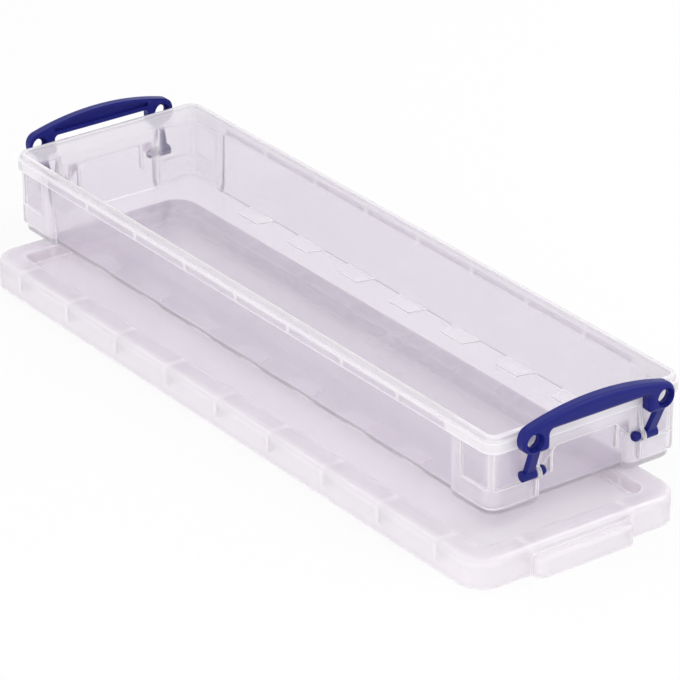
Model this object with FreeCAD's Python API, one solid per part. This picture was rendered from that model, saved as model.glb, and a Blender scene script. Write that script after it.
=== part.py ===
import FreeCAD, Part
import math
import os

Vector = FreeCAD.Vector

# A long clear storage box: a tray with two clip handles, standing on its own lid.
# Millimetres, +Z up, +X along the box. The origin is on the floor, under the middle of the whole.

# Tray: outer sizes
tray_length = 338.8
tray_width = 97.0
tray_height = 35.1
wall = 1.4
floor_thickness = 1.6
side_draft = 2.5
end_draft = 4.0
base_bevel = 0.5
rim_overhang = 1.6
rim_height = 7.0
rim_corner_radius = 6.6
lip_height = 2.4
lip_step = 1.0
lip_radius = 0.7
skirt_thickness = 1.0
roof_thickness = 1.2

# Tray: corner posts
post_length = 26.8
post_inner_radius = 3.0
foot_height = 3.2
foot_step = 0.4
foot_bevel = 0.4
foot_corner_radius = 8.0
base_band = 11.4
window_depth = 0.8
window_drop = 1.0
side_frame = 8.0
corner_rib = 2.4

# Tray: ribs, pads, ears and end apron
rib_pitch = 36.75
rib_thickness = 1.4
rib_bays = 8
pad_length = 18.9
pad_taper = 2.4
pad_width = 8.6
pad_height = 0.6
ear_inset = 7.1
ear_thickness = 1.5
ear_margin = 3.6
ear_front = 2.8
ear_boss_radius = 3.0
ear_lift = 4.0
ear_radius = 2.0
apron_drop = 5.6
apron_width = 29.0
apron_slope = 6.2
end_rib_spacing = 33.0
end_rib_reach = 0.8

# Handles
pivot_height = 15.3
pivot_reach = 1.8
pin_radius = 1.6
pin_clearance = 0.05
head_radius = 2.1
head_length = 2.8
head_bevel = 0.8
side_clearance = 0.3
leg_foot_radius = 2.3
leg_foot_length = 6.2
leg_width = 4.6
leg_thickness = 2.6
leg_radius = 0.6
leg_inset = 1.9
leg_splay = 1.0
eyelet_spacing = 64.8
eyelet_height = 17.3
lobe_radius = 5.3
lobe_corner_radius = 2.0
lobe_inner = 7.7
shoulder_rise = 0.9
crest_rise = 9.8
grip_height = 7.7
finger_radius = 2.0
grip_offset = 2.2
grip_thickness = 5.2
grip_radius = 2.2
dish_radius = 4.2
dish_floor_radius = 3.4
dish_depth = 2.1
eyelet_web = 0.9
eyelet_radius = 2.6
channel_wall = 1.7
channel_depth = 1.4

# Lid
lid_height = 12.9
lid_wall = 1.4
lid_radius = 11.4
lid_top_radius = 2.2
lid_side_room = 1.2
lid_end_room = 1.2
border_side = 11.1
border_end = 9.8
panel_depth = 6.0
panel_radius = 5.0
panel_lip_radius = 0.8
tab_reach = 5.0
tab_width = 48.2
tab_height = 9.0
tab_radius = 4.0
lid_rib_lift = 4.1
end_rib_gap = 49.2

# The tray stands on the lid, shifted back and to one side
tray_back = 20.6
tray_aside = 21.9
rest_gap = 0.3

# Cuts run past the faces that they open
overrun = 1.0
tolerance = 0.01

# Sizes that follow
half_length = tray_length / 2
half_width = tray_width / 2
post_end = half_length - rim_overhang
post_side = half_width - rim_overhang
rim_base = tray_height - rim_height
lip_base = tray_height - lip_height
post_radius = rim_corner_radius - rim_overhang
post_wall = wall + window_depth
pivot_x = post_end + pivot_reach
eyelet_reach = eyelet_spacing / 2
finger_reach = eyelet_reach - lobe_inner
shoulder_height = eyelet_height + shoulder_rise
arch_height = shoulder_height + crest_rise
arch_radius = (eyelet_reach ** 2 + crest_rise ** 2 - lobe_radius ** 2) / (2 * (crest_rise - lobe_radius))
finger_height = arch_height - grip_height
ear_inner = eyelet_reach - ear_inset
ear_outer = ear_inner + ear_thickness
post_inner = ear_inner - ear_margin
rib_stations = [k * rib_pitch for k in range(1 - rib_bays // 2, rib_bays // 2)]
lid_half_width = half_width + lid_side_room + lid_wall
lid_half_length = half_length + lid_end_room + lid_wall
panel_half_width = lid_half_width - border_side
panel_half_length = lid_half_length - border_end
panel_top = lid_height - panel_depth
tray_base = lid_height + rest_gap


# Shared shapes
def rounded_wire(corners, radii, place):
    """Closed wire round the corners, each with its own radius; place turns (a, b) into a point."""
    flat = [Vector(a, b, 0) for a, b in corners]
    joints = []
    for index, corner in enumerate(flat):
        back = flat[index - 1] - corner
        ahead = flat[(index + 1) % len(flat)] - corner
        half_angle = back.getAngle(ahead) / 2
        back.normalize()
        ahead.normalize()
        middle = back + ahead
        middle.normalize()
        radius = radii[index]
        cut = radius / math.tan(half_angle)
        sag = radius / math.sin(half_angle) - radius
        joints.append((corner + back * cut, corner + middle * sag, corner + ahead * cut))
    edges = []
    for index, (start, middle, end) in enumerate(joints):
        if start.distanceToPoint(end) > tolerance:
            arc = [place(p.x, p.y) for p in (start, middle, end)]
            edges.append(Part.Arc(*arc).toShape())
        following = joints[(index + 1) % len(joints)][0]
        if end.distanceToPoint(following) > tolerance:
            line = [place(p.x, p.y) for p in (end, following)]
            edges.append(Part.LineSegment(*line).toShape())
    return Part.Wire(edges)


def oblong_wire(x, y, radius, z):
    """Rounded rectangle of half sizes x and y about the Z axis."""
    corners = [(-x, -y), (x, -y), (x, y), (-x, y)]
    return rounded_wire(corners, [radius] * len(corners), lambda a, b: Vector(a, b, z))


def block(x, y, radius, z_low, z_high):
    """Upright rounded block about the Z axis."""
    return Part.Face(oblong_wire(x, y, radius, z_low)).extrude(Vector(0, 0, z_high - z_low))


def bar(x_range, y_range, z_range):
    """Plain box between two corners, in any order along each axis."""
    low = [min(r) for r in (x_range, y_range, z_range)]
    size = [max(r) - min(r) for r in (x_range, y_range, z_range)]
    return Part.makeBox(size[0], size[1], size[2], Vector(*low))


def edges_at(shape, z):
    """Edges that lie flat at height z."""
    return [e for e in shape.Edges if all(abs(v.Z - z) < tolerance for v in e.Vertexes)]


def plate_along_y(corners, radii, y_low, y_high):
    """Outline in X and Z, made into a plate between two Y places."""
    wire = rounded_wire(corners, radii, lambda a, b: Vector(a, y_low, b))
    return Part.Face(wire).extrude(Vector(0, y_high - y_low, 0))


def plate_along_x(corners, radii, x_low, x_high):
    """Outline in Y and Z, made into a plate between two X places."""
    wire = rounded_wire(corners, radii, lambda a, b: Vector(x_low, a, b))
    return Part.Face(wire).extrude(Vector(x_high - x_low, 0, 0))


def both_ends(shape):
    """The shape and its mirror image at the other end."""
    return [shape, shape.mirror(Vector(0, 0, 0), Vector(1, 0, 0))]


def both_sides(shape):
    """The shape and its mirror image on the other side."""
    return [shape, shape.mirror(Vector(0, 0, 0), Vector(0, 1, 0))]


def four_corners(shape):
    """The shape and its mirror images at the other three corners."""
    return both_ends(shape) + both_ends(both_sides(shape)[1])


# Tray, modelled with its feet at z = 0
def end_wall(z):
    """Where the drafted end wall's outer face stands at height z."""
    return post_end - end_draft * (1 - z / tray_height)


def side_wall(z):
    """Where the drafted long wall's outer face stands at height z."""
    return post_side - side_draft * (1 - z / tray_height)


def drafted_block(inset, z_low, z_high, radius):
    """The tray's drafted body between two heights, moved in by inset, with a bevel round its base."""
    sections = [(z_low, inset + base_bevel), (z_low + base_bevel, inset), (z_high, inset)]
    wires = [oblong_wire(end_wall(z) - i, side_wall(z) - i, radius, z) for z, i in sections]
    return Part.makeLoft(wires, True, True)


def post_block(inset, corner_radius, z_low, z_high):
    """One upright corner post, at +X +Y, moved in by inset."""
    x_low = post_end - post_length + inset
    y_low = post_inner + inset
    corners = [
        (x_low, y_low),
        (post_end - inset, y_low),
        (post_end - inset, post_side - inset),
        (x_low, post_side - inset),
    ]
    inner = post_inner_radius
    wire = rounded_wire(corners, [inner, inner, corner_radius, inner], lambda a, b: Vector(a, b, z_low))
    return Part.Face(wire).extrude(Vector(0, 0, z_high - z_low))


def post():
    """Corner post on a stepped foot."""
    foot = post_block(foot_step, foot_corner_radius, 0, foot_height + foot_step)
    foot = foot.makeChamfer(foot_bevel, edges_at(foot, 0))
    return foot.fuse(post_block(0, post_radius, foot_height, lip_base))


def post_window():
    """Shallow panels in the post's two outer faces, between the frame and the corner rib."""
    z_high = rim_base - window_drop
    inside = post_block(window_depth, post_radius - window_depth, base_band, z_high)
    skin = post_block(0, post_radius, base_band, z_high).cut(inside)
    deep = (base_band - overrun, z_high + overrun)
    past = (post_end + overrun, post_side + overrun)
    start = post_end - post_length
    frame = bar((start - overrun, start + side_frame), (0, past[1]), deep)
    jamb = bar((0, past[0]), (0, ear_outer), deep)
    rib = bar((-post_radius, post_radius), (-corner_rib / 2, corner_rib / 2), deep)
    rib.rotate(Vector(0, 0, 0), Vector(0, 0, 1), math.degrees(math.pi / 4))
    rib.translate(Vector(post_end - post_radius / 2, post_side - post_radius / 2, 0))
    return skin.cut(frame.fuse([jamb, rib]))


def ear():
    """Upright web in front of the post that carries a handle pin, tapered up to the rim."""
    x_back = post_end - post_wall / 2
    x_front = post_end + ear_front
    z_high = rim_base + overrun
    shoulder = pivot_height + ear_boss_radius
    corners = [
        (x_back, ear_lift),
        (x_front, ear_lift),
        (x_front, shoulder),
        (half_length - lip_step, z_high),
        (x_back, z_high),
    ]
    web = plate_along_y(corners, [0, ear_radius, ear_radius, 0, 0], ear_inner, ear_outer)
    centre = Vector(pivot_x, ear_inner, pivot_height)
    return web.fuse(Part.makeCylinder(ear_boss_radius, ear_thickness, centre, Vector(0, 1, 0)))


def pin_hole():
    """Bore through the ear for the handle's pin."""
    start = Vector(pivot_x, ear_inner - overrun, pivot_height)
    length = ear_thickness + 2 * overrun
    return Part.makeCylinder(pin_radius + pin_clearance, length, start, Vector(0, 1, 0))


def head_room():
    """Scoop in the post's face behind the pin's head."""
    length = head_length + 2 * side_clearance
    start = Vector(pivot_x, ear_inner - length, pivot_height)
    return Part.makeCylinder(head_radius + side_clearance, length, start, Vector(0, 1, 0))


def apron():
    """Deeper stretch of the rim at the tray's end, between the ears."""
    low = rim_base - apron_drop
    shoulder = low - apron_slope
    foot = apron_width / 2
    knee = foot + apron_slope
    corners = [(-ear_outer, rim_base + overrun), (-ear_outer, shoulder), (-knee, shoulder), (-foot, low)]
    corners += [(-a, b) for a, b in reversed(corners)]
    return plate_along_x(corners, [0] * len(corners), post_end - wall, post_end)


def end_rib():
    """Upright rib on the drafted end wall, from the base band to the apron."""
    z_high = rim_base - apron_drop
    x_range = (end_wall(base_band) - wall / 2, end_wall(z_high) + end_rib_reach)
    middle = end_rib_spacing / 2
    y_range = (middle - rib_thickness / 2, middle + rib_thickness / 2)
    return bar(x_range, y_range, (base_band, z_high + wall))


def rim_groove():
    """Hollow under the rim along a long side, between the posts, with a web left at each rib station."""
    reach = post_end - post_length
    half = rib_thickness / 2
    y_range = (post_side - side_draft, half_width - skirt_thickness)
    z_range = (rim_base - overrun, lip_base - roof_thickness)
    webs = [bar((x - half, x + half), y_range, z_range) for x in rib_stations]
    body = drafted_block(0, 0, lip_base, post_radius)
    return bar((-reach, reach), y_range, z_range).cut([body] + webs)


def floor_pad(x):
    """Low raised pad on the floor beside the long wall."""
    y_high = side_wall(0) - wall / 2
    half = pad_length / 2
    corners = [
        (x - half + pad_taper, y_high - pad_width),
        (x + half - pad_taper, y_high - pad_width),
        (x + half, y_high),
        (x - half, y_high),
    ]
    wire = rounded_wire(corners, [0] * len(corners), lambda a, b: Vector(a, b, floor_thickness / 2))
    return Part.Face(wire).extrude(Vector(0, 0, floor_thickness / 2 + pad_height))


def rim():
    """Outward flange with a narrower lip on top."""
    flange = block(half_length, half_width, rim_corner_radius, rim_base, lip_base)
    lip_x = half_length - lip_step
    lip_y = half_width - lip_step
    lip = block(lip_x, lip_y, rim_corner_radius - lip_step, lip_base - overrun, tray_height)
    return flange.fuse(lip.makeFillet(lip_radius, edges_at(lip, tray_height)))


def tray():
    """The clear tray."""
    body = drafted_block(0, 0, lip_base, post_radius)
    added = [rim()] + both_ends(apron())
    for piece in (post(), ear(), end_rib()):
        added += four_corners(piece)
    shape = body.fuse(added)

    cavity = drafted_block(wall, floor_thickness, tray_height + overrun, post_radius - wall)
    pocket = post_block(post_wall, post_radius - wall, floor_thickness, rim_base)
    cuts = [cavity] + both_sides(rim_groove())
    for hollow in (pocket, post_window(), pin_hole(), head_room()):
        cuts += four_corners(hollow)
    shape = shape.cut(cuts)

    pads = []
    for x in rib_stations:
        pads += both_sides(floor_pad(x))
    return shape.fuse(pads).removeSplitter()


# Handle, modelled with its pins on the Y axis and its outer face towards +X
def handle_outline():
    """Arched grip with two eyelet lobes, in Y and Z, on the plane of its inner face."""
    reach = eyelet_reach
    shoulder = shoulder_height
    arch_centre = arch_height - arch_radius
    lean = arch_radius / (arch_radius - lobe_radius)
    meet = (reach * lean, arch_centre + (shoulder - arch_centre) * lean)
    outer = reach + lobe_radius
    inner = finger_reach
    low = eyelet_height - lobe_radius
    turn = math.sqrt(2) / 2
    bend = math.atan2(shoulder - arch_centre, reach) / 2
    crown = (reach + lobe_radius * math.cos(bend), shoulder + lobe_radius * math.sin(bend))
    heel = (reach + lobe_radius * turn, eyelet_height - lobe_radius * turn)
    toe = lobe_corner_radius
    nook = finger_radius
    half = [
        [meet, crown, (outer, shoulder)],
        [(outer, shoulder), (outer, eyelet_height)],
        [(outer, eyelet_height), heel, (reach, low)],
        [(reach, low), (inner + toe, low)],
        [(inner + toe, low), (inner + toe * (1 - turn), low + toe * (1 - turn)), (inner, low + toe)],
        [(inner, low + toe), (inner, finger_height - nook)],
        [
            (inner, finger_height - nook),
            (inner - nook * (1 - turn), finger_height - nook * (1 - turn)),
            (inner - nook, finger_height),
        ],
    ]
    other = [[(-a, b) for a, b in reversed(places)] for places in reversed(half)]
    crest = [[(-meet[0], meet[1]), (0, arch_height), meet]]
    under = [[(inner - nook, finger_height), (nook - inner, finger_height)]]
    edges = []
    for places in crest + half + under + other:
        points = [Vector(grip_offset, a, b) for a, b in places]
        curve = Part.Arc if len(points) > 2 else Part.LineSegment
        edges.append(curve(*points).toShape())
    return Part.Wire(edges)


def grip():
    """Arched grip: rounded outside, channelled inside, with a dished eyelet in each lobe."""
    outer_face = grip_offset + grip_thickness
    shape = Part.Face(handle_outline()).extrude(Vector(grip_thickness, 0, 0))
    outside = [e for e in shape.Edges if all(abs(v.X - outer_face) < tolerance for v in e.Vertexes)]
    shape = shape.makeFillet(grip_radius, outside)

    start = grip_offset - overrun
    along_x = Vector(1, 0, 0)
    centre = Vector(start, 0, arch_height - arch_radius)
    disc = Part.makeCylinder(arch_radius - channel_wall, channel_depth + overrun, centre, along_x)
    deep = (start, grip_offset + channel_depth)
    band = bar(deep, (-finger_reach, finger_reach), (finger_height + channel_wall, arch_height))
    cuts = [band.common(disc)]
    dish_start = Vector(outer_face - dish_depth, eyelet_reach, eyelet_height)
    dish = Part.makeCone(dish_floor_radius, dish_radius, dish_depth, dish_start, along_x)
    back_start = Vector(start, eyelet_reach, eyelet_height)
    back_depth = grip_thickness - dish_depth - eyelet_web
    back = Part.makeCone(dish_radius, dish_floor_radius, back_depth + overrun, back_start, along_x)
    bore = Part.makeCylinder(eyelet_radius, grip_thickness + overrun, back_start, along_x)
    cuts += both_sides(dish) + both_sides(back) + both_sides(bore)
    return shape.cut(cuts)


def leg():
    """Leg, foot and snap pin on the +Y side."""
    foot_start = ear_outer + side_clearance
    middle = foot_start + leg_foot_length / 2
    top = eyelet_height - lobe_radius + lobe_corner_radius
    places = [(0, middle, 0), (grip_offset + grip_thickness - leg_inset, middle + leg_splay, top)]
    wires = []
    for x, y, z in places:
        wire = oblong_wire(leg_thickness / 2, leg_width / 2, leg_radius, z)
        wire.translate(Vector(x, y, 0))
        wires.append(wire)
    shank = Part.makeLoft(wires, True, True)
    foot = Part.makeCylinder(leg_foot_radius, leg_foot_length, Vector(0, foot_start, 0), Vector(0, 1, 0))
    head_start = Vector(0, ear_inner - side_clearance - head_length, 0)
    pin = Part.makeCylinder(pin_radius, middle - head_start.y, head_start, Vector(0, 1, 0))
    head = Part.makeCylinder(head_radius, head_length, head_start, Vector(0, 1, 0))
    rings = [e for e in head.Edges if len(e.Vertexes) == 1]
    return shank.fuse([foot, pin, head.makeChamfer(head_bevel, rings)])


def handle():
    """One clip handle."""
    return grip().fuse(both_sides(leg())).removeSplitter()


# Lid, modelled with its lower edge at z = 0
def end_tab(inset, z_low, z_high):
    """Bulge in the middle of the lid's +X end, moved in by inset."""
    x_high = lid_half_length + tab_reach - inset
    y_high = tab_width / 2 - inset
    x_low = panel_half_length + border_end / 2
    corners = [(x_low, -y_high), (x_high, -y_high), (x_high, y_high), (x_low, y_high)]
    radius = tab_radius - inset
    wire = rounded_wire(corners, [0, radius, radius, 0], lambda a, b: Vector(a, b, z_low))
    return Part.Face(wire).extrude(Vector(0, 0, z_high - z_low))


def lid_ribs(space):
    """Webs across the hollow border, on the pitch of the tray's ribs."""
    z_range = (lid_rib_lift, lid_height)
    half = rib_thickness / 2
    webs = []
    for k in range(-(rib_bays // 2), rib_bays // 2 + 1):
        x = k * rib_pitch
        webs += both_sides(bar((x - half, x + half), (panel_half_width, lid_half_width), z_range))
    y = end_rib_gap / 2
    webs += four_corners(bar((panel_half_length, lid_half_length), (y - half, y + half), z_range))
    return [w.common(space) for w in webs]


def lid():
    """The clear lid: hollow border round a sunken panel, with a tab at each end."""
    shell = block(lid_half_length, lid_half_width, lid_radius, 0, lid_height)
    shell = shell.makeFillet(lid_top_radius, edges_at(shell, lid_height))
    tab = end_tab(0, 0, tab_height)
    outside = [e for e in edges_at(tab, tab_height) if e.BoundBox.XMax > lid_half_length]
    shell = shell.fuse(both_ends(tab.makeFillet(lid_wall, outside)))

    ceiling = lid_height - lid_wall
    inner_radius = lid_radius - lid_wall
    inner_x = lid_half_length - lid_wall
    inner_y = lid_half_width - lid_wall
    hollow = block(inner_x, inner_y, inner_radius, -overrun, ceiling)
    hollow = hollow.makeChamfer(lid_top_radius - lid_wall, edges_at(hollow, ceiling))
    hollow = hollow.fuse(both_ends(end_tab(lid_wall, -overrun, tab_height - lid_wall)))
    sunken_x = panel_half_length + lid_wall
    sunken_y = panel_half_width + lid_wall
    sunken = block(sunken_x, sunken_y, panel_radius + lid_wall, panel_top - lid_wall, lid_height)
    space = hollow.cut(sunken)
    well = block(panel_half_length, panel_half_width, panel_radius, panel_top, lid_height + overrun)
    shell = shell.cut([space, well])
    brink = []
    for edge in edges_at(shell, lid_height):
        if all(abs(v.X) < sunken_x and abs(v.Y) < sunken_y for v in edge.Vertexes):
            brink.append(edge)
    shell = shell.makeFillet(panel_lip_radius, brink)
    return shell.fuse(lid_ribs(space)).removeSplitter()


# Assembly
def build():
    """All four pieces in their places, over the middle of the whole."""
    tray_place = Vector(-tray_back, tray_aside, tray_base)
    near = handle()
    near.translate(Vector(pivot_x, 0, pivot_height))
    far = near.copy()
    far.rotate(Vector(0, 0, 0), Vector(0, 0, 1), math.degrees(math.pi))
    box = tray()
    for shape in (box, near, far):
        shape.translate(tray_place)
    pieces = {"lid": lid(), "tray": box, "handle_near": near, "handle_far": far}
    whole = Part.makeCompound(list(pieces.values())).optimalBoundingBox(False, False)
    middle = Vector(-(whole.XMin + whole.XMax) / 2, -(whole.YMin + whole.YMax) / 2, 0)
    for shape in pieces.values():
        shape.translate(middle)
    print("moved by", middle)
    return pieces


os.makedirs("parts", exist_ok=True)
for node, shape in build().items():
    solid = shape.Solids[0]
    print(node, len(shape.Solids), solid.isValid(), solid.optimalBoundingBox(False, False))
    solid.exportStep("parts/" + node + ".step")
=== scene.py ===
# %% [markdown]
# # A clear storage box on its lid
# The box is a long slim tray moulded in see-through plastic, with a blue clip handle at each end.
# It stands on its own lid, pushed back and to one side. All four mouldings come from the packed
# model, already in their places and in metres, so nothing is moved here: the work is in the
# finishes, the light and the view.

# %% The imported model
import math
import bpy
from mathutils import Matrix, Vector


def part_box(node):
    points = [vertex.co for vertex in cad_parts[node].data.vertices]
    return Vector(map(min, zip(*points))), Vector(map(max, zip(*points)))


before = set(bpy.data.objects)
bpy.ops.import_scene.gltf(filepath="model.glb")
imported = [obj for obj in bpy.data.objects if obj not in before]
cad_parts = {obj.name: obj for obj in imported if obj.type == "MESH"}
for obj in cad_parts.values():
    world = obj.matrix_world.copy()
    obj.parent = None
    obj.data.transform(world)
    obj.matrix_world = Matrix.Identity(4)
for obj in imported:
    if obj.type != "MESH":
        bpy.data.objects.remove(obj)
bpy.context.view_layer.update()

MM = 0.001

# %% [markdown]
# ## The view
# The photograph looks along the box from its right front corner, from well above the table and
# from far away, which keeps the long edges almost parallel. A long lens at nearly two metres gives
# that flat perspective. The angles, the distance and the point that the lens looks at were worked
# out from the tray's corners, rib pitch and handles.

# %% Camera
view_turn = math.radians(36.27)
view_height = math.radians(26.30)
view_distance = 1813.9 * MM
lens_share = 4341.6 / 680
sensor = 36.0
aim_right = 3.814 * MM
aim_down = 3.014 * MM
far_limit = 20

towards = Vector((
    math.cos(view_height) * math.cos(view_turn),
    -math.cos(view_height) * math.sin(view_turn),
    math.sin(view_height),
))
across = (-towards).cross(Vector((0, 0, 1))).normalized()
upright = across.cross(-towards)
tray_low, tray_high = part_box("tray")
tray_foot = Vector((
    (tray_low.x + tray_high.x) / 2, (tray_low.y + tray_high.y) / 2, tray_low.z))
aim = tray_foot + across * aim_right - upright * aim_down

camera = bpy.data.objects.new("camera", bpy.data.cameras.new("camera"))
bpy.context.scene.collection.objects.link(camera)
camera.data.sensor_width = sensor
camera.data.lens = sensor * lens_share
camera.data.clip_end = far_limit
camera.location = aim + towards * view_distance
camera.rotation_euler = (-towards).to_track_quat("-Z", "Y").to_euler()
bpy.context.scene.camera = camera
print("lens", round(camera.data.lens, 1), "mm, camera at", [round(c, 3) for c in camera.location])

# %% [markdown]
# ## Colours and nodes
# Colours are picked from the eye's own scale, as hex values, and Blender shades in linear light, so
# one function turns the first into the second. Another adds a node to a material: plain values go
# into its sockets, and a socket from an earlier node is linked.

# %% Helpers for finishes
def linear(code):
    """sRGB hex to a linear colour."""
    parts = [int(code[i:i + 2], 16) / 255 for i in (1, 3, 5)]
    return [p / 12.92 if p <= 0.04045 else ((p + 0.055) / 1.055) ** 2.4 for p in parts] + [1]


def add(tree, kind, sockets, **settings):
    """Add one node, with its settings, its values and its links."""
    node = tree.nodes.new(kind)
    for name, value in settings.items():
        setattr(node, name, value)
    for name, value in sockets.items():
        if isinstance(value, bpy.types.NodeSocket):
            tree.links.new(value, node.inputs[name])
        else:
            node.inputs[name].default_value = value
    return node


def finish(name):
    """A new material with an empty tree."""
    material = bpy.data.materials.new(name)
    material.use_nodes = True
    material.node_tree.nodes.clear()
    return material, material.node_tree


print("mid grey", [round(v, 3) for v in linear("#808080")])

# %% [markdown]
# ## Clear moulded polypropylene
# The tray and the lid are unfilled polypropylene. It is see-through but never as clear as glass:
# tiny crystals in the plastic scatter some light, so the walls look milky and what lies behind them
# is soft. A glass shader with some roughness, and with a part of its weight left to a pale diffuse
# body, gives both. Slow waves a few centimetres long are the flow and the sink of the moulding, and
# a finer haze makes the gloss wander.
#
# Light that enters such a wall runs along inside it and comes out at the edges, so every rim and
# corner shows as a white line. That light is painted here: comparing the true normal with one that
# is rounded off near edges finds those lines, and they get a painted glow. A rib, a web or a heavy
# corner post makes the plastic thicker, and it scatters more there: short rays sent inwards find
# those places. The tray's rim is a double wall, found by its height. All three turn whiter and less
# clear, the edges by painted light and the thick places and the rim by their stronger scatter, on
# faces met from outside only, so that light on its way out isn't held back again.
#
# Rays that go to the lamps pass through tinted, because a path tracer would otherwise treat the
# plastic as a solid body and leave the inside of the tray in deep shade.

# %% Sizes and shares of clear polypropylene
flow_length = 28 * MM
wave_height = 0.5 * MM
wave_strength = 0.03
haze_size = 7 * MM
noise_low, noise_high = 0.3, 0.7
edge_size = 1.8 * MM
flat_turn, sharp_turn = 0.995, 0.85
# White for the painted edge glow, and for the stronger scatter of thick plastic and the rim.
glow_and_scatter_tint = "#FEFCFE"
thick_size = 3 * MM
thin_share, thick_share = 0.22, 0.52
thick_white = 0.5
rim_height = 7 * MM
rim_blend = 0.3 * MM
rim_white = 0.2
rim_base = tray_high.z - rim_height
least_clear = 0.05
plastic_ior = 1.49
print("rim from", round(rim_base / MM, 1), "mm up")

# %% Finish of clear polypropylene
def clear_polypropylene(name, clear_share, gloss_range, tints, shade):
    """See-through plastic: its clear share, ranges of roughness and tint, and the light let by."""
    material, tree = finish(name)
    place = add(tree, "ShaderNodeTexCoord", {}).outputs["Object"]
    flow = add(tree, "ShaderNodeTexNoise", {
        "Vector": place, "Scale": 1 / flow_length, "Detail": 2, "Roughness": 0.5})
    haze = add(tree, "ShaderNodeTexNoise", {
        "Vector": place, "Scale": 1 / haze_size, "Detail": 3, "Roughness": 0.6})
    gloss = add(tree, "ShaderNodeMapRange", {
        "Value": haze.outputs["Fac"], "From Min": noise_low, "From Max": noise_high,
        "To Min": gloss_range[0], "To Max": gloss_range[1]})
    tint = add(tree, "ShaderNodeMix", {
        "Factor": flow.outputs["Fac"], "A": linear(tints[0]), "B": linear(tints[1])},
        data_type="RGBA")
    waves = add(tree, "ShaderNodeBump", {
        "Height": flow.outputs["Fac"], "Strength": wave_strength, "Distance": wave_height})

    shape = add(tree, "ShaderNodeNewGeometry", {})
    rounded = add(tree, "ShaderNodeBevel", {"Radius": edge_size}, samples=4)
    turn = add(tree, "ShaderNodeVectorMath", {
        0: shape.outputs["Normal"], 1: rounded.outputs["Normal"]}, operation="DOT_PRODUCT")
    # Painted glow: edges found by the rounded normal are painted white, standing in for light that
    # comes out of the wall there.
    edge = add(tree, "ShaderNodeMapRange", {
        "Value": turn.outputs["Value"], "From Min": flat_turn, "From Max": sharp_turn})
    depth = add(tree, "ShaderNodeAmbientOcclusion", {"Distance": thick_size},
                samples=6, inside=True, only_local=True)
    thick = add(tree, "ShaderNodeMapRange", {
        "Value": depth.outputs["AO"], "From Min": thin_share, "From Max": thick_share,
        "To Max": thick_white})
    most = add(tree, "ShaderNodeMath", {
        0: edge.outputs["Result"], 1: thick.outputs["Result"]}, operation="MAXIMUM")
    height = add(tree, "ShaderNodeSeparateXYZ", {"Vector": place})
    rim = add(tree, "ShaderNodeMapRange", {
        "Value": height.outputs["Z"], "From Min": rim_base - rim_blend,
        "From Max": rim_base + rim_blend, "To Max": rim_white})
    # Painted edge glow joined with the real whitening of thick places and the double rim.
    glow_and_milk = add(tree, "ShaderNodeMath", {
        0: most.outputs["Value"], 1: rim.outputs["Result"]}, operation="ADD", use_clamp=True)
    outer = add(tree, "ShaderNodeMath", {
        0: 1.0, 1: shape.outputs["Backfacing"]}, operation="SUBTRACT")
    white = add(tree, "ShaderNodeMath", {
        0: glow_and_milk.outputs["Value"], 1: outer.outputs["Value"]}, operation="MULTIPLY")
    # White mixed into the colour: painted edge glow, plus the scatter of thick plastic and the rim.
    colour = add(tree, "ShaderNodeMix", {
        "Factor": white.outputs["Value"], "A": tint.outputs["Result"], "B": linear(glow_and_scatter_tint)},
        data_type="RGBA")
    clear = add(tree, "ShaderNodeMapRange", {
        "Value": white.outputs["Value"], "To Min": clear_share, "To Max": least_clear})

    body = add(tree, "ShaderNodeBsdfPrincipled", {
        "Base Color": colour.outputs["Result"], "Roughness": gloss.outputs["Result"],
        "Normal": waves.outputs["Normal"], "IOR": plastic_ior,
        "Transmission Weight": clear.outputs["Result"]})
    rays = add(tree, "ShaderNodeLightPath", {})
    passed = add(tree, "ShaderNodeBsdfTransparent", {"Color": linear(shade)})
    plastic = add(tree, "ShaderNodeMixShader", {
        0: rays.outputs["Is Shadow Ray"], 1: body.outputs["BSDF"], 2: passed.outputs["BSDF"]})
    add(tree, "ShaderNodeOutputMaterial", {"Surface": plastic.outputs["Shader"]})
    print(name, len(tree.nodes), "nodes, clear share", clear_share)
    return material


print("waves of", round(flow_length / MM), "mm and haze of", round(haze_size / MM), "mm")

# %% [markdown]
# The tray's mould is polished, so its walls are the clearer ones. The lid's mould is matt: the same
# plastic, with a frosted skin that hides more of what is under it.

# %% Finishes of the tray and the lid
tray_plastic = clear_polypropylene(
    "clear_moulded_polypropylene", clear_share=0.86, gloss_range=(0.06, 0.14),
    tints=("#EEE9F2", "#F5F1F7"), shade="#DEDAE2")
lid_plastic = clear_polypropylene(
    "frosted_moulded_polypropylene", clear_share=0.6, gloss_range=(0.14, 0.22),
    tints=("#F8F3F9", "#FDF9FD"), shade="#FBF9FC")

# %% [markdown]
# ## Blue moulded polypropylene
# The handles are the same plastic with a strong blue pigment, so no light comes through. Their
# mould was lightly blasted: a fine grain breaks up the reflection into a broad soft sheen along the
# arch.

# %% Finish of the handles
grain_size = 0.45 * MM
grain_height = 0.05 * MM
grain_strength = 0.15
pigment_size = 9 * MM
pigment_tints = ("#171B70", "#1E237C")
satin_range = (0.33, 0.45)
sheen = 0.2

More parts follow.
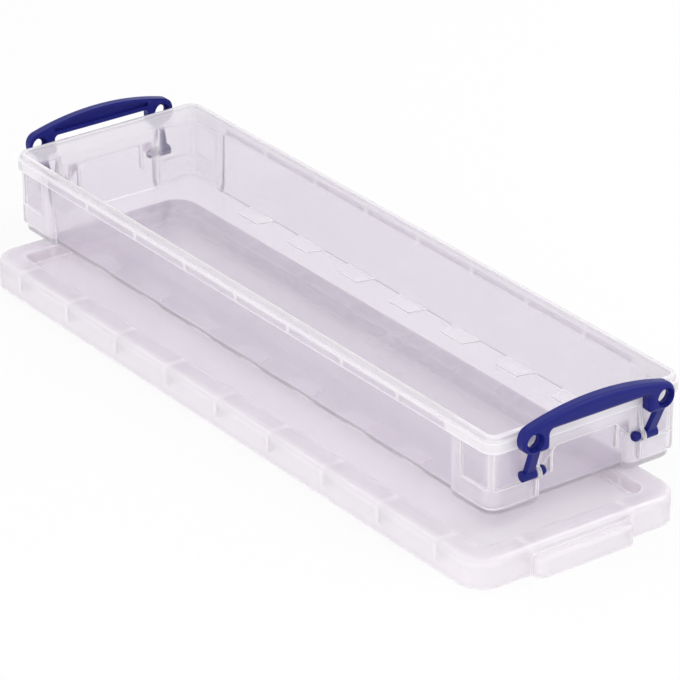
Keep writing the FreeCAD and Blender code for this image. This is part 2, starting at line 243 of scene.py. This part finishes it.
blue_plastic, tree = finish("blue_moulded_polypropylene")
place = add(tree, "ShaderNodeTexCoord", {}).outputs["Object"]
grain = add(tree, "ShaderNodeTexNoise", {
    "Vector": place, "Scale": 1 / grain_size, "Detail": 2, "Roughness": 0.6})
pigment = add(tree, "ShaderNodeTexNoise", {
    "Vector": place, "Scale": 1 / pigment_size, "Detail": 3, "Roughness": 0.5})
tint = add(tree, "ShaderNodeMix", {
    "Factor": pigment.outputs["Fac"],
    "A": linear(pigment_tints[0]), "B": linear(pigment_tints[1])}, data_type="RGBA")
gloss = add(tree, "ShaderNodeMapRange", {
    "Value": pigment.outputs["Fac"], "From Min": noise_low, "From Max": noise_high,
    "To Min": satin_range[0], "To Max": satin_range[1]})
texture = add(tree, "ShaderNodeBump", {
    "Height": grain.outputs["Fac"], "Strength": grain_strength, "Distance": grain_height})
body = add(tree, "ShaderNodeBsdfPrincipled", {
    "Base Color": tint.outputs["Result"], "Roughness": gloss.outputs["Result"],
    "Normal": texture.outputs["Normal"], "IOR": plastic_ior, "Specular IOR Level": sheen})
add(tree, "ShaderNodeOutputMaterial", {"Surface": body.outputs["BSDF"]})
print(blue_plastic.name, len(tree.nodes), "nodes")

# %% Finishes on the mouldings
for node, plastic in (("tray", tray_plastic), ("lid", lid_plastic),
                      ("handle_near", blue_plastic), ("handle_far", blue_plastic)):
    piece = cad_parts[node]
    for slot in piece.material_slots:
        slot.material = plastic
    print(node, [slot.material.name for slot in piece.material_slots])

# %% [markdown]
# ## Table and light
# The box stands on plain white card in an evenly lit white room, with a big soft lamp behind it and
# another in front. The card is seen as white, also through the plastic and in its gloss, and keeps
# a part of the shadow that really falls on it. The lamps stay at a plain level, and they aren't
# seen through the plastic, where their small bright squares would only turn to grain.

# %% White table
white_share = 0.8
reach = 6.0
table_drop = 0.2 * MM


def seen(tree):
    """1 for rays that end in the picture: straight, mirrored or through the plastic."""
    rays = add(tree, "ShaderNodeLightPath", {}).outputs
    straight = add(tree, "ShaderNodeMath", {
        0: rays["Is Camera Ray"], 1: rays["Is Glossy Ray"]}, operation="MAXIMUM")
    either = add(tree, "ShaderNodeMath", {
        0: straight.outputs["Value"], 1: rays["Is Transmission Ray"]}, operation="MAXIMUM")
    return either.outputs["Value"]


white_card, tree = finish("white_card")
card = add(tree, "ShaderNodeBsdfDiffuse", {"Color": linear("#F4F4F4")})
glow = add(tree, "ShaderNodeEmission", {"Color": linear("#FFFFFF"), "Strength": 1.0})
share = add(tree, "ShaderNodeMath", {0: seen(tree), 1: white_share}, operation="MULTIPLY")
both = add(tree, "ShaderNodeMixShader", {
    0: share.outputs["Value"], 1: card.outputs["BSDF"], 2: glow.outputs["Emission"]})
add(tree, "ShaderNodeOutputMaterial", {"Surface": both.outputs["Shader"]})

table_mesh = bpy.data.meshes.new("table")
table_mesh.from_pydata(
    [(-reach, -reach, 0), (reach, -reach, 0), (reach, reach, 0), (-reach, reach, 0)],
    [], [(0, 1, 2, 3)])
table_mesh.materials.append(white_card)
table = bpy.data.objects.new("table", table_mesh)
bpy.context.scene.collection.objects.link(table)
table.location.z = -table_drop
print("table", 2 * reach, "m wide")

# %% Lamps
def soft_lamp(name, place, size, watts):
    """A square lamp that looks at the box."""
    lamp = bpy.data.objects.new(name, bpy.data.lights.new(name, "AREA"))
    lamp.data.size = size
    lamp.data.energy = watts
    lamp.location = place
    lamp.rotation_euler = (-Vector(place)).to_track_quat("-Z", "Y").to_euler()
    lamp.visible_transmission = False
    bpy.context.scene.collection.objects.link(lamp)
    print(name, watts, "W")


soft_lamp("back_lamp", place=(0.5, 0.9, 1.2), size=0.8, watts=5)
soft_lamp("front_lamp", place=(0.9, -1.3, 0.9), size=1.2, watts=5)

# %% White room
room_light = 0.88
room_white = 1.0

world = bpy.data.worlds.new("studio")
bpy.context.scene.world = world
world.use_nodes = True
tree = world.node_tree
tree.nodes.clear()
level = add(tree, "ShaderNodeMapRange", {
    "Value": seen(tree), "To Min": room_light, "To Max": room_white})
sky = add(tree, "ShaderNodeBackground", {
    "Color": linear("#FFFFFF"), "Strength": level.outputs["Result"]})
add(tree, "ShaderNodeOutputWorld", {"Surface": sky.outputs["Background"]})
bpy.context.scene.view_settings.view_transform = "Standard"
print("room light", room_light, "and white", room_white)
